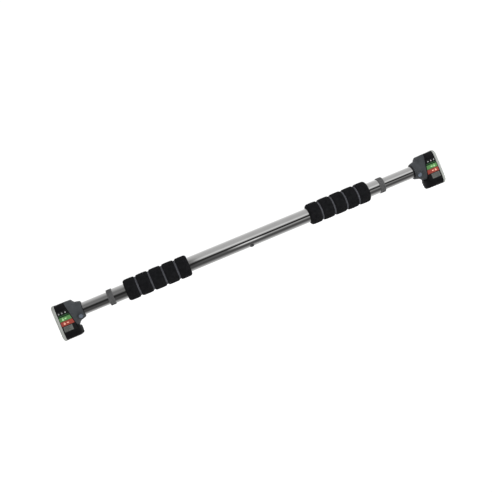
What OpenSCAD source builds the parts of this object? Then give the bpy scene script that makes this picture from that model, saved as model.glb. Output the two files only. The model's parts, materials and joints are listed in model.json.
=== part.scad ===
// Telescopic doorway pull-up bar. Every length is in millimetres.
// X runs along the bar, +Z is up and the labelled front faces -Y. The origin is on the ground line,
// under the middle of the whole bar, where the two end caps stand on their flat undersides.
// An end is modelled once: x is then the distance from the wall inwards, with the tube's axis at y = z = 0.

/* [Reach] */
// Length of inner tube that shows at the left end
left_out = 57; // [10:1:130]
// Length of inner tube that shows at the right end
right_out = 74; // [10:1:130]

/* [Tubes] */
// Length of the main tube
main_len = 648; // [600:2:800]
// Outside diameter of the main tube
main_d = 32; // [32:0.5:34]
// Outside diameter of the inner tubes
inner_d = 27; // [26:0.5:27]
// Wall thickness of the tubes
tube_wall = 1.5; // [1.2:0.1:1.5]
// Length of each inner tube
inner_len = 343; // [330:1:345]

/* [Grips] */
// Distance from the middle of the bar to each grip
grip_start = 142; // [100:1:150]
// Length of a grip
grip_len = 144.5; // [120:0.5:150]
// Outside diameter of a grip
grip_d = 47; // [44:0.5:50]
// Diameter at the bottom of the grooves between segments
groove_d = 42; // [38:0.5:43]
// Number of segments in a grip
segments = 5; // [3:1:7]
// Width of a groove between segments
groove_w = 3.8; // [2:0.1:5]
// Radius of a segment's edges
segment_round = 2; // [0.5:0.1:2.2]

/* [End caps] */
// Depth of the wall pad, front to back
pad_w = 53; // [52:0.5:56]
// Height of the wall pad above the tube's axis
cap_above = 29; // [28:0.5:32]
// Height of the wall pad below the tube's axis
cap_below = 49; // [46:0.5:55]
// Thickness of the wall pad
pad_t = 7; // [5:0.5:8]
// How far the pad stands out past the housing all round
pad_lip = 0.75; // [0.5:0.05:1.5]
// Corner radius of the pad
pad_round = 12.75; // [10:0.25:14]
// Distance from the wall to the tip of the housing's rounded nose
housing_end = 44; // [42:0.5:46]
// Distance from the wall to the mouth of the neck
neck_end = 58.5; // [58:0.5:62]
// Radius of the neck at its mouth
neck_r = 17.7; // [17.6:0.1:18.5]
// Wall thickness of the housing
shell = 3; // [2.5:0.25:3.5]

/* [Screw feed] */
// Advance of an end for each turn
screw_lead = 5; // [4:1:6]
// Diameter of the spindle over its thread
spindle_d = 12; // [10:0.5:13]

/* [Lock button] */
// Diameter of the button
button_d = 9; // [8:0.5:9]
// Angle of the button below the front horizontal
button_angle = 34; // [20:1:50]

/* [Hidden] */

$fn = 96;
fit = 0.05;            // radial clearance of a running or push fit
part_gap = 0.15;       // gap at a parting line between two covers
eps = 0.01;            // overlap that keeps a union or a cut clean

main_r = main_d / 2;
inner_r = inner_d / 2;
main_bore = main_r - tube_wall;
inner_bore = inner_r - tube_wall;

// Collars and guide bushes at the ends of the main tube
collar_w = 12;
collar_lip = 2;
collar_r = main_r + 1.5;
collar_round = 0.8;
bush_len = 25;
collar_face = main_len / 2 + collar_lip;

// Distances from the middle of the main tube to the walls, and the middle's place in the frame
left_half = collar_face + left_out + neck_end;
right_half = collar_face + right_out + neck_end;
bar_shift = (left_half - right_half) / 2;

// Screw feed in the main tube
spindle_r = spindle_d / 2;
thread_depth = 1.1;
block_half = 20;
spindle_root = 6;      // inner end of the spindle, inside the block
thread_from = 22;
thread_to = 194;
spindle_tip_r = 4;
spindle_tip = 203;
stop_from = 196;
stop_w = 4;
stop_r = 9.5;
centre_screw_r = 2;
centre_screw_head_r = 4.6;
centre_screw_head_h = 1.6;
centre_screw_angle = 62;

// Nut and slide ring at the inner end of an inner tube, along x from that end outwards
nut_len = 25;
nut_nose = 10;
nut_shoulder_r = 12.9;
nut_groove_r = 11;
nut_groove_w = 6;
nut_shoulder_w = 2;
ring_split = 2;

// Inside of a cap, as distances from the wall
plate_t = 3;
plate_end = pad_t + plate_t;
plug_from = plate_end + 0.4;
plug_flange_t = 3;
plug_flange_r = 16;
plug_len = 17;
tube_end = plug_from + plug_flange_t + 0.1;
web_from = plug_from + plug_flange_t + 0.6;
web_t = 3;
chamber_r = 16.8;
lock_ring_r = 16.4;
notch_r = 14.4;
notch_w = 5.8;
lock_ring_from = 46.5;
lock_ring_w = 8.5;
notches = 12;
mouth_from = neck_end - 3;
neck_bush_r = 16;
neck_bush_out = 0.7;

// The cap's plan has straight sides as far as nose_from, then an oval nose
nose_from = 20;

// Neck cover
cover_low = 29.5;
slant_top = 27.3;
slant_low = 37.2;
slant_knee = -22;
full_end = 33.5;
oval_at = 43;
oval_half_w = 20.6;
oval_low = 26.5;
throat_at = 47.5;
throat_r = 20.6;

// Lock button, measured outwards from the tube's axis
button_at = 51;
button_r = button_d / 2;
boss_r = button_r + 2;
boss_out = 22.5;
seat_out = 19.3;
button_head_from = 21.5;
button_head_to = 23.9;
button_stem_r = 1.8;
foot_from = 16.6;
foot_to = 17.8;
foot_r = 2.6;

// Cap screws
screw_r = 1.5;
screw_head_r = 2.9;
screw_y = 15.5;
screw_z = 17;
screw_to = 39;
screw_boss_r = 4.2;

// Label panel, set flush into the housing's front, with a right edge that runs along the neck cover
label_from = 7.8;
label_margin = 1.5;
label_top = 13;
label_low = -33.5;
label_t = 0.6;

// Pegs and tread of the wall pad
peg_r = 2.5;
peg_z = [22, -36];
tread_pitch = 9;
tread_w = 2;
tread_len = 34;
tread_depth = 1.2;

steel = [0.78, 0.78, 0.8];
chrome = [0.86, 0.87, 0.88];
black = [0.09, 0.09, 0.1];
foam = [0.07, 0.07, 0.08];
grey_foam = [0.3, 0.3, 0.31];
anthracite = [0.29, 0.29, 0.32];
pad_grey = [0.56, 0.58, 0.55];

// ---- placing ----
module on_bar() translate([bar_shift, 0, cap_below]) children();
module left_of_bar() on_bar() mirror([1, 0, 0]) children();
module left_end() on_bar() translate([-left_half, 0, 0]) children();
module right_end() on_bar() translate([right_half, 0, 0]) mirror([1, 0, 0]) children();
// The inner end of an inner tube, with x running on towards the wall
module left_inner_end() left_end() translate([tube_end + inner_len, 0, 0]) mirror([1, 0, 0]) children();
module right_inner_end() right_end() translate([tube_end + inner_len, 0, 0]) mirror([1, 0, 0]) children();

// ---- shared shapes ----
module rod(r, from, to) translate([from, 0, 0]) rotate([0, 90, 0]) cylinder(r = r, h = to - from);
module pipe(r, bore, from, to) difference() {
    rod(r, from, to);
    rod(bore, from - 1, to + 1);
}
// A solid turned about the x axis from an outline of [x, radius] points
module turned(points) rotate([0, 90, 0]) rotate_extrude()
    polygon([for (p = points) [p[1], p[0]]]);
// A rounded upright plate across the bar, from the height low to the height high
module plate(w, low, high, round_r, from, to) translate([from, 0, 0]) rotate([90, 0, 90])
    linear_extrude(to - from) union() {
        translate([-w / 2 + round_r, low]) square([w - 2 * round_r, high - low]);
        translate([-w / 2, low + round_r]) square([w, high - low - 2 * round_r]);
        for (y = [-1, 1], z = [low + round_r, high - round_r])
            translate([y * (w / 2 - round_r), z]) circle(round_r);
    }
// Turns a shape that stands along z out along the button's own direction
module at_button() translate([button_at, 0, 0]) rotate([90 + button_angle, 0, 0]) children();

// ---- main tube and what is fixed to it ----
module main_tube() color(chrome) on_bar() difference() {
    pipe(main_r, main_bore, -main_len / 2, main_len / 2);
    rotate([90 + centre_screw_angle, 0, 0]) cylinder(r = centre_screw_r + 0.1, h = main_r + 1);
}
module centre_block() color(steel) on_bar() difference() {
    rod(main_bore - fit, -block_half, block_half);
    for (side = [-1, 1])
        rod(spindle_r + fit, side > 0 ? spindle_root : -block_half - 1,
            side > 0 ? block_half + 1 : -spindle_root);
    rotate([90 + centre_screw_angle, 0, 0]) translate([0, 0, 5])
        cylinder(r = centre_screw_r + fit, h = main_r);
}
module centre_screw() color(black) on_bar() rotate([90 + centre_screw_angle, 0, 0]) difference() {
    union() {
        translate([0, 0, 5.5]) cylinder(r = centre_screw_r, h = main_r - 5);
        translate([0, 0, main_r + fit]) cylinder(r = centre_screw_head_r, h = centre_screw_head_h * 0.55);
        translate([0, 0, main_r + fit + centre_screw_head_h * 0.55 - eps])
            cylinder(r1 = centre_screw_head_r, r2 = centre_screw_head_r - 1.4,
                h = centre_screw_head_h * 0.45);
    }
    translate([0, 0, main_r + 0.6]) for (turn = [0, 90])
        rotate([0, 0, turn]) translate([-2.4, -0.5, 0]) cube([4.8, 1, 4]);
}
module spindle() color(steel) {
    thread = screw_lead;
    turns = floor((thread_to - thread_from) / thread);
    root = spindle_r - thread_depth;
    turned([
        [spindle_root + 0.2, 0], [spindle_root + 0.2, spindle_r], [thread_from - 1, spindle_r],
        for (i = [0:turns - 1]) each [
            [thread_from + i * thread, root], [thread_from + (i + 0.3) * thread, root],
            [thread_from + (i + 0.5) * thread, spindle_r], [thread_from + (i + 0.8) * thread, spindle_r]],
        [thread_to, root], [stop_from - 0.5, root], [stop_from - 0.5, spindle_tip_r],
        [spindle_tip, spindle_tip_r], [spindle_tip, 0]]);
}
module spindle_stop() color(steel) pipe(stop_r, spindle_tip_r + fit, stop_from, stop_from + stop_w);
module guide_bush() color(black)
    pipe(main_bore - fit, inner_r + fit, main_len / 2 - bush_len, main_len / 2 - 0.1);
module collar() color(anthracite) turned([
    [collar_face - collar_w, main_r + fit], [collar_face - collar_w, collar_r - collar_round],
    [collar_face - collar_w + collar_round, collar_r], [collar_face - collar_round, collar_r],
    [collar_face, collar_r - collar_round], [collar_face, inner_r + fit],
    [main_len / 2 + 0.1, inner_r + fit], [main_len / 2 + 0.1, main_r + fit]]);

// ---- grips ----
segment_w = (grip_len - (segments - 1) * groove_w) / segments;
end_wall = 2.5;
module grip_core() color(grey_foam)
    pipe(groove_d / 2, main_r + 0.1, grip_start + end_wall, grip_start + grip_len - end_wall);
// One segment's outline; wall_left or wall_right closes that end down to the tube
module segment(from, wall_left, wall_right) {
    to = from + segment_w;
    r = grip_d / 2;
    rr = segment_round;
    inside = groove_d / 2 + 0.1;
    tube_r = main_r + 0.1;
    arc = [for (a = [0:15:90]) a];
    outer = concat(
        [for (a = arc) [from + rr - rr * cos(a), r - rr + rr * sin(a)]],
        [for (a = arc) [to - rr + rr * sin(a), r - rr + rr * cos(a)]]);
    inner_right = wall_right
        ? [[to, tube_r], [to - end_wall + 0.1, tube_r], [to - end_wall + 0.1, inside]] : [[to, inside]];
    inner_left = wall_left
        ? [[from + end_wall - 0.1, inside], [from + end_wall - 0.1, tube_r], [from, tube_r]]
        : [[from, inside]];
    turned(concat(outer, inner_right, inner_left));
}
module grip_segments() color(foam) for (i = [0:segments - 1])
    segment(grip_start + i * (segment_w + groove_w), i == 0, i == segments - 1);

// ---- inner tube and what turns with it ----
module inner_tube() color(chrome) pipe(inner_r, inner_bore, tube_end, tube_end + inner_len);
module spindle_nut() color(steel) turned([
    [-nut_nose, spindle_r + fit], [-nut_nose, nut_shoulder_r],
    [-nut_nose + nut_shoulder_w, nut_shoulder_r], [-nut_nose + nut_shoulder_w, nut_groove_r],
    [-nut_nose + nut_shoulder_w + nut_groove_w, nut_groove_r],
    [-nut_nose + nut_shoulder_w + nut_groove_w, nut_shoulder_r], [-0.1, nut_shoulder_r],
    [-0.1, inner_bore - fit], [nut_len, inner_bore - fit], [nut_len, spindle_r + fit]]);
module slide_ring() color(black) difference() {
    pipe(main_bore - fit, nut_groove_r + fit,
        -nut_nose + nut_shoulder_w + 0.1, -nut_nose + nut_shoulder_w + nut_groove_w - 0.1);
    translate([-nut_nose, -ring_split / 2, 0]) cube([nut_nose, ring_split, main_r]);
}
module thrust_plug() color(steel) union() {
    rod(plug_flange_r, plug_from, plug_from + plug_flange_t);
    rod(inner_bore - fit, plug_from + plug_flange_t - eps, plug_from + plug_flange_t + plug_len);
}
module lock_ring() color(steel) difference() {
    pipe(lock_ring_r, inner_r + fit, lock_ring_from, lock_ring_from + lock_ring_w);
    for (i = [0:notches - 1]) rotate([button_angle + 180 + i * 360 / notches, 0, 0])
        translate([lock_ring_from - 1, notch_r, -notch_w / 2]) cube([lock_ring_w + 2, 4, notch_w]);
}

// ---- cap ----
housing_w = pad_w - 2 * pad_lip;
housing_top = cap_above - pad_lip;
housing_low = -cap_below + pad_lip;
housing_round = pad_round - pad_lip;
module cap_screw_places() for (y = [-screw_y, screw_y], z = [-screw_z, screw_z])
    translate([0, y, z]) children();
module wall_pad() color(pad_grey) difference() {
    union() {
        plate(pad_w, -cap_below, cap_above, pad_round, 0, pad_t - 0.1);
        for (z = peg_z) translate([0, 0, z]) rod(peg_r, pad_t - 0.2, plate_end - 0.4);
    }
    for (i = [-3:3])
        translate([-1, -tread_len / 2, (cap_above - cap_below) / 2 + i * tread_pitch - tread_w / 2])
        cube([1 + tread_depth, tread_len, tread_w]);
}
module base_plate() color(steel) difference() {
    plate(housing_w - 2 * shell - 0.2, housing_low + shell + 0.1, housing_top - shell - 0.1,
        housing_round - shell, pad_t, plate_end);
    for (z = peg_z) translate([0, 0, z]) rod(peg_r + fit, 0, plate_end + 1);
    cap_screw_places() rod(screw_r + 0.1, 0, plate_end + 1);
    cap_screw_places() rod(screw_head_r + 0.1, 0, pad_t + 2);
}
// Where the neck cover lies, seen from the front: right of a slanted line that turns in a round knee
module cover_zone(grow) {
    knee_r = 5;
    lean = (slant_low - slant_top) / (cap_above - slant_knee);
    top = [slant_top - 5 * lean - grow, cap_above + 5];
    knee = [slant_low - grow, slant_knee];
    centre = [knee[0] + knee_r, -cover_low + knee_r];
    rotate([90, 0, 0]) translate([0, 0, -pad_w]) linear_extrude(2 * pad_w) polygon(concat(
        [[neck_end + 10, -cover_low - grow], [neck_end + 10, cap_above + 5], top, knee],
        [for (a = [180:15:270]) centre + (knee_r + grow * (a - 180) / 90) * [cos(a), sin(a)]]));
}
// The cap's plan outline as a solid, inset all round
module cap_plan(inset) translate([0, 0, -cap_below - 1]) linear_extrude(cap_above + cap_below + 2)
    polygon(concat(
    [[0, inset - housing_w / 2]],
    [for (a = [-90:7.5:90])
        [nose_from + (housing_end - nose_from - inset) * cos(a), (housing_w / 2 - inset) * sin(a)]],
    [[0, housing_w / 2 - inset]]));
module housing() color(black) difference() {
    intersection() {
        plate(housing_w, housing_low, housing_top, housing_round, pad_t, housing_end);
        cap_plan(0);
    }
    // the space behind the web holds the base plate and the plug's flange
    plate(housing_w - 2 * shell, housing_low + shell, housing_top - shell, housing_round - shell, 0,
        plate_end);
    difference() {
        plate(housing_w - 2 * shell, housing_low + shell, housing_top - shell, housing_round - shell,
            plate_end - eps, web_from);
        cap_screw_places() rod(screw_boss_r, 0, housing_end);
    }
    // the space before the web is open to the neck cover
    difference() {
        intersection() {
            plate(housing_w - 2 * shell, housing_low + shell, housing_top - shell, housing_round - shell,
                web_from + web_t, housing_end - shell);
            cap_plan(shell);
        }
        cap_screw_places() rod(screw_boss_r, 0, housing_end);
        // a roof over the nose, under the neck cover
        translate([slant_low - 3, -pad_w, -cover_low - part_gap - shell]) cube([20, 2 * pad_w, shell + 1]);
    }
    rod(inner_r + 0.08, 0, housing_end + 1);
    cap_screw_places() rod(screw_r + 0.1, 0, housing_end + 1);
    cover_zone(part_gap);
    difference() {
        label_prism(0);
        cap_plan(label_t);
    }
}
// An upright oval slab, wide half_w to each side, with its lowest point at -low and its highest at high
module oval(half_w, low, high, from, to) translate([from, 0, 0]) rotate([90, 0, 90])
    linear_extrude(to - from) polygon(
        [for (a = [0:7.5:352.5]) [half_w * cos(a), (a > 180 ? low : high) * sin(a)]]);
module neck_cover() color(anthracite) difference() {
    union() {
        intersection() {
            union() {
                intersection() {
                    plate(housing_w, -cover_low, housing_top, housing_round, slant_top - 5, full_end);
                    cap_plan(0);
                }
                hull() {
                    intersection() {
                        plate(housing_w, -cover_low, housing_top, housing_round,
                            full_end - 0.5, full_end, $fn = 48);
                        cap_plan(0);
                    }
                    oval(oval_half_w, oval_low, housing_top, oval_at - 0.5, oval_at);
                }
            }
            cover_zone(0);
        }
        hull() {
            oval(oval_half_w, oval_low, housing_top, oval_at - 0.5, oval_at);
            rod(throat_r, throat_at - 0.5, throat_at, $fn = 48);
        }
        translate([throat_at - 0.5, 0, 0]) rotate([0, 90, 0])
            cylinder(r1 = throat_r, r2 = neck_r, h = neck_end - throat_at + 0.5);
        at_button() cylinder(r = boss_r, h = boss_out);
    }
    difference() {
        intersection() {
            plate(housing_w - 2 * shell, -cover_low + shell, housing_top - shell, housing_round - shell,
                0, full_end + 2);
            cap_plan(shell);
        }
        cap_screw_places() rod(screw_boss_r, 0, oval_at);
    }
    rod(chamber_r, 0, mouth_from);
    rod(neck_bush_r, mouth_from - 1, neck_end + 1);
    cap_screw_places() rod(screw_r + fit, 0, screw_to + 0.5);
    at_button() cylinder(r = foot_r + 0.15, h = foot_to + 0.1);
    at_button() cylinder(r = button_stem_r + fit, h = boss_out);
    at_button() translate([0, 0, seat_out]) cylinder(r = button_r + fit, h = 10);
}
module neck_bush() color(black)
    pipe(neck_bush_r - fit, inner_r + fit, mouth_from + 0.2, neck_end + neck_bush_out);
// The label's outline, inset all round, as a prism from before the housing to well inside it
module label_prism(inset) {
    lean = (slant_low - slant_top) / (cap_above - slant_knee);
    right_at = function(z) slant_low - (z - slant_knee) * lean - label_margin - inset;
    translate([0, 9 - housing_w / 2, 0]) rotate([90, 0, 0]) linear_extrude(10) polygon([
        [label_from + inset, label_low + inset], [right_at(slant_knee), label_low + inset],
        [right_at(slant_knee), slant_knee], [right_at(label_top), label_top - inset],
        [label_from + inset, label_top - inset]]);
}
module label() color(black) difference() {
    intersection() {
        label_prism(0.1);
        cap_plan(0);
    }
    cap_plan(label_t - 0.05);
}
module cap_screws() color(steel) cap_screw_places() union() {
    rod(screw_head_r, pad_t + 0.2, pad_t + 1.9);
    rod(screw_r, pad_t + 1, screw_to);
}
module lock_button() color(grey_foam) at_button() union() {
    translate([0, 0, foot_from]) cylinder(r = foot_r, h = foot_to - foot_from);
    translate([0, 0, foot_to - eps]) cylinder(r = button_stem_r, h = button_head_from - foot_to + 2 * eps);
    translate([0, 0, button_head_from]) cylinder(r = button_r, h = button_head_to - button_head_from - 0.6);
    translate([0, 0, button_head_to - 0.6 - eps]) cylinder(r1 = button_r, r2 = button_r - 0.6, h = 0.6);
}

main_tube();
centre_block();
centre_screw();
left_of_bar() spindle();  // left_spindle
left_of_bar() spindle_stop();  // left_spindle_stop
left_of_bar() guide_bush();  // left_guide_bush
left_of_bar() collar();  // left_collar
left_of_bar() grip_core();  // left_grip_core
left_of_bar() grip_segments();  // left_grip_segments
on_bar() spindle();  // right_spindle
on_bar() spindle_stop();  // right_spindle_stop
on_bar() guide_bush();  // right_guide_bush
on_bar() collar();  // right_collar
on_bar() grip_core();  // right_grip_core
on_bar() grip_segments();  // right_grip_segments
left_inner_end() slide_ring();  // left_slide_ring
left_end() inner_tube();  // left_inner_tube
left_inner_end() spindle_nut();  // left_spindle_nut
left_end() thrust_plug();  // left_thrust_plug
left_end() lock_ring();  // left_lock_ring
left_end() wall_pad();  // left_wall_pad
left_end() base_plate();  // left_base_plate
left_end() housing();  // left_housing
left_end() neck_cover();  // left_neck_cover
left_end() neck_bush();  // left_neck_bush
left_end() label();  // left_label
left_end() cap_screws();  // left_cap_screws
left_end() lock_button();  // left_lock_button
right_inner_end() slide_ring();  // right_slide_ring
right_end() inner_tube();  // right_inner_tube
right_inner_end() spindle_nut();  // right_spindle_nut
right_end() thrust_plug();  // right_thrust_plug
right_end() lock_ring();  // right_lock_ring
right_end() wall_pad();  // right_wall_pad
right_end() base_plate();  // right_base_plate
right_end() housing();  // right_housing
right_end() neck_cover();  // right_neck_cover
right_end() neck_bush();  // right_neck_bush
right_end() label();  // right_label
right_end() cap_screws();  // right_cap_screws
right_end() lock_button();  // right_lock_button
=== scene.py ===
"""A telescopic doorway pull-up bar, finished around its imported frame. Lengths are in metres.

X runs along the bar, +Z is up and the labelled front faces -Y. The left cap is modelled in place and
the right cap is its mirror image. `u` is always a distance from the left wall face along the bar, and
`h` a height above the tubes' axis.
"""
import json
import math

import bmesh
import bpy
from mathutils import Matrix, Vector


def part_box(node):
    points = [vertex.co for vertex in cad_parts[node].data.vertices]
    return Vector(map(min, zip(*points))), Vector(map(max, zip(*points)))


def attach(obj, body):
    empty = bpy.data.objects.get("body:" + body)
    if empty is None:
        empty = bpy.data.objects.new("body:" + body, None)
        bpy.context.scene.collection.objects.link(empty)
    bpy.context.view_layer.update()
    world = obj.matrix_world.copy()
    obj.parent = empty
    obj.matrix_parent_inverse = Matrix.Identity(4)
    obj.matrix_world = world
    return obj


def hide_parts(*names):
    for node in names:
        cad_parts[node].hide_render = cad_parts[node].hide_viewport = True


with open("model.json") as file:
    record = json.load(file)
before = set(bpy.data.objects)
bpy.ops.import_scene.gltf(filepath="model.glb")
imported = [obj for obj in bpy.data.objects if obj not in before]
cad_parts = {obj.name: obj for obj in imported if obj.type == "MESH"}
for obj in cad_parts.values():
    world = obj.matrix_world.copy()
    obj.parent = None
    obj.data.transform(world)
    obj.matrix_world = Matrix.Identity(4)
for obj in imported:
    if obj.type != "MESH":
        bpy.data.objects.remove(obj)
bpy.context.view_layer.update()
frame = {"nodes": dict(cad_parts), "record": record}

MM = 0.001

# ---- places taken from the frame ----
TUBE_LOW, TUBE_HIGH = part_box("main_tube")
AXIS_Z = (TUBE_LOW.z + TUBE_HIGH.z) / 2
BAR_MID = (TUBE_LOW.x + TUBE_HIGH.x) / 2
MAIN_R = (TUBE_HIGH.y - TUBE_LOW.y) / 2
INNER_LOW, INNER_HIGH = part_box("left_inner_tube")
INNER_R = (INNER_HIGH.y - INNER_LOW.y) / 2
PAD_LOW, PAD_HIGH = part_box("left_wall_pad")
HOUSING_LOW, HOUSING_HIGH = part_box("left_housing")
WALL_X = PAD_LOW.x

# ---- the cap's own sizes ----
TUBE_WALL = 1.5 * MM
PAD_T = 6.9 * MM
PAD_ROUND = 12.75 * MM
HOUSING_ROUND = 12 * MM
SHELL = 3 * MM
SLANT_TOP = (27.3 * MM, 29 * MM)      # (u, h) where the neck cover's front edge starts
SLANT_LOW = (38.0 * MM, -29.5 * MM)   # (u, h) where it would meet the cover's underside
KNEE_R = 5 * MM
NOSE_FROM = 20 * MM                   # the cap's plan is straight as far as here, then an oval nose
NOSE_TO = HOUSING_HIGH.x - WALL_X
HALF_W = HOUSING_HIGH.y
NOSE_TIP = 0.03                       # least share of the width, at the nose's very tip
NOSE_EASE = (0.62, 0.11)              # where along the nose its underside starts to lift, and how much
NOSE_STEPS = 20
FULL_U = 33.5 * MM                    # how far the neck cover keeps the housing's outline
MOUTH_R = 16.05 * MM
CHAMBER_R = 16.8 * MM
BUTTON_U = 51 * MM
BUTTON_ANGLE = math.radians(34)
BUTTON_R = 4.5 * MM
BOSS_R = 6.5 * MM
BOSS_OUT = 22.5 * MM
BUTTON_SEAT = 19.3 * MM
LABEL_U = 7.9 * MM
LABEL_TOP = 12.9 * MM
LABEL_LOW = -33.4 * MM
LABEL_MARGIN = 1.6 * MM
LABEL_KNEE = -22 * MM
LABEL_Y = HOUSING_LOW.y


# ======================================================================== modelling by hand
def clear_selection():
    bpy.ops.object.select_all(action="DESELECT")


def hold(piece):
    """Makes one piece the active and only selected object."""
    clear_selection()
    piece.select_set(True)
    bpy.context.view_layer.objects.active = piece
    return piece


def named(name):
    """Names the primitive just added and settles its place into its mesh."""
    piece = bpy.context.object
    piece.name = piece.data.name = name
    bpy.ops.object.transform_apply(location=True, rotation=True, scale=True)
    return piece


def edit(piece, kind="EDGE"):
    hold(piece)
    bpy.ops.object.mode_set(mode="EDIT")
    bpy.ops.mesh.select_mode(type=kind)
    bpy.ops.mesh.select_all(action="DESELECT")


def done():
    bpy.ops.object.mode_set(mode="OBJECT")


def pick_edges(piece, test):
    """Selects the edges whose two ends pass the test, and nothing else."""
    mesh = bmesh.from_edit_mesh(piece.data)
    for edge in mesh.edges:
        edge.select_set(test(edge.verts[0].co, edge.verts[1].co))
    bmesh.update_edit_mesh(piece.data)


def pick_faces(piece, test):
    mesh = bmesh.from_edit_mesh(piece.data)
    for face in mesh.faces:
        face.select_set(bool(test(face.calc_center_median(), face.normal)))
    bmesh.update_edit_mesh(piece.data)


def move_points(piece, place):
    """Puts each point that is selected in edit mode where place(point) says."""
    mesh = bmesh.from_edit_mesh(piece.data)
    for point in mesh.verts:
        if point.select:
            point.co = place(point.co)
    bmesh.update_edit_mesh(piece.data)


def apply_modifiers(piece):
    hold(piece)
    for modifier in list(piece.modifiers):
        bpy.ops.object.modifier_apply(modifier=modifier.name)


def smooth(piece, angle=35):
    hold(piece)
    bpy.ops.object.shade_smooth_by_angle(angle=math.radians(angle))
    return piece


def block(name, low, high):
    """A plain block between two corners, the start of a moulded piece."""
    clear_selection()
    low, high = Vector(low), Vector(high)
    bpy.ops.mesh.primitive_cube_add(size=1, location=(low + high) / 2)
    bpy.context.object.scale = high - low
    return named(name)


def round_long_edges(piece, axis, radius, segments):
    """Bevels the edges that run along one axis."""
    def runs_along(a, b):
        d = b - a
        return abs(d[axis]) > 0.9 * d.length
    edit(piece)
    pick_edges(piece, runs_along)
    bpy.ops.mesh.bevel(offset=radius, segments=segments, affect="EDGES", profile=0.5)
    done()
    return piece


def round_rim(piece, x, radius, segments=4):
    """Bevels the edges that lie in the upright plane at x."""
    edit(piece)
    pick_edges(piece, lambda a, b: abs(a.x - x) < 1e-6 and abs(b.x - x) < 1e-6)
    bpy.ops.mesh.bevel(offset=radius, segments=segments, affect="EDGES", profile=0.5)
    done()
    return piece


def turned(name, outline, segments=128, ends="join"):
    """Draws a ring out along (x, radius) stations on the bar's axis, as a lathe would turn it.
    The outline closes on itself, or with ends="cap" the first and last rings are filled."""
    clear_selection()
    x, radius = outline[0]
    bpy.ops.mesh.primitive_circle_add(vertices=segments, radius=radius, location=(x, 0, AXIS_Z),
                                      rotation=(0, math.pi / 2, 0))
    piece = named(name)
    edit(piece)
    bpy.ops.mesh.select_all(action="SELECT")
    if ends == "cap":
        bpy.ops.mesh.edge_face_add()
    for (x0, r0), (x1, r1) in zip(outline, outline[1:]):
        bpy.ops.mesh.extrude_region_move(TRANSFORM_OT_translate={"value": (x1 - x0, 0, 0)})
        bpy.ops.transform.resize(value=(1, r1 / r0, r1 / r0), center_override=(x1, 0, AXIS_Z))
    bpy.ops.mesh.select_all(action="SELECT")
    bpy.ops.mesh.remove_doubles(threshold=1e-5)
    bpy.ops.mesh.normals_make_consistent(inside=False)
    done()
    return piece


def rod(name, radius, x0, x1, segments=96):
    clear_selection()
    bpy.ops.mesh.primitive_cylinder_add(vertices=segments, radius=radius, depth=x1 - x0,
                                        location=((x0 + x1) / 2, 0, AXIS_Z), rotation=(0, math.pi / 2, 0))
    return named(name)


def arc(cx, cy, radius, start, stop, steps=6, tall=None):
    """Points on part of a circle, or of an oval when tall is given, as (x, radius) stations."""
    turn = [math.radians(start + (stop - start) * i / steps) for i in range(steps + 1)]
    return [(cx + radius * math.cos(a), cy + (tall or radius) * math.sin(a)) for a in turn]


def combine(piece, tool, operation):
    """Cuts, keeps or joins with another solid, which is used up."""
    modifier = piece.modifiers.new("tool", "BOOLEAN")
    modifier.object = tool
    modifier.operation = operation
    modifier.solver = "EXACT"
    apply_modifiers(piece)
    bpy.data.objects.remove(tool)
    return piece


def soften(piece, width, segments=2, angle=38):
    """Breaks every sharp edge with a small round."""
    modifier = piece.modifiers.new("edges", "BEVEL")
    modifier.width = width
    modifier.segments = segments
    modifier.limit_method = "ANGLE"
    modifier.angle_limit = math.radians(angle)
    modifier.use_clamp_overlap = True
    modifier.miter_outer = "MITER_ARC"
    apply_modifiers(piece)
    return piece


def mirrored(piece, name, about=0.0):
    """A copy of its own on the other side of the upright plane at x = about."""
    hold(piece)
    bpy.ops.object.duplicate()
    copy = bpy.context.object
    copy.name = copy.data.name = name
    bpy.ops.transform.resize(value=(-1, 1, 1), center_override=(about, 0, 0))
    bpy.ops.object.transform_apply(location=True, rotation=True, scale=True)
    edit(copy, "FACE")
    bpy.ops.mesh.select_all(action="SELECT")
    normals_out = sum(f.normal.dot(f.calc_center_median() - middle_of(copy)) * f.calc_area()
                      for f in bmesh.from_edit_mesh(copy.data).faces)
    if normals_out < 0:
        bpy.ops.mesh.flip_normals()
    done()
    return copy


def middle_of(piece):
    corners = [Vector(c) for c in piece.bound_box]
    return sum(corners, Vector()) / len(corners)


# ======================================================================== finishes
def new_finish(name):
    material = bpy.data.materials.new(name)
    material.use_nodes = True
    return material, material.node_tree.nodes, material.node_tree.links


def shader_of(material):
    return material.node_tree.nodes["Principled BSDF"]


def set_shader(material, **values):
    for key, value in values.items():
        shader_of(material).inputs[key.replace("_", " ")].default_value = value


def place_on(material, scale=(1, 1, 1)):
    """Object coordinates, stretched along the three axes."""
    nodes, links = material.node_tree.nodes, material.node_tree.links
    where = nodes.new("ShaderNodeTexCoord")
    mapping = nodes.new("ShaderNodeMapping")
    mapping.inputs["Scale"].default_value = scale
    links.new(where.outputs["Object"], mapping.inputs["Vector"])
    return mapping.outputs["Vector"]


def noise(material, vector, scale, detail=3, roughness=0.5):
    node = material.node_tree.nodes.new("ShaderNodeTexNoise")
    node.inputs["Scale"].default_value = scale
    node.inputs["Detail"].default_value = detail
    node.inputs["Roughness"].default_value = roughness
    material.node_tree.links.new(vector, node.inputs["Vector"])
    return node.outputs["Fac"]


def cells(material, vector, scale):
    node = material.node_tree.nodes.new("ShaderNodeTexVoronoi")
    node.inputs["Scale"].default_value = scale
    material.node_tree.links.new(vector, node.inputs["Vector"])
    return node.outputs["Distance"]


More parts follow.
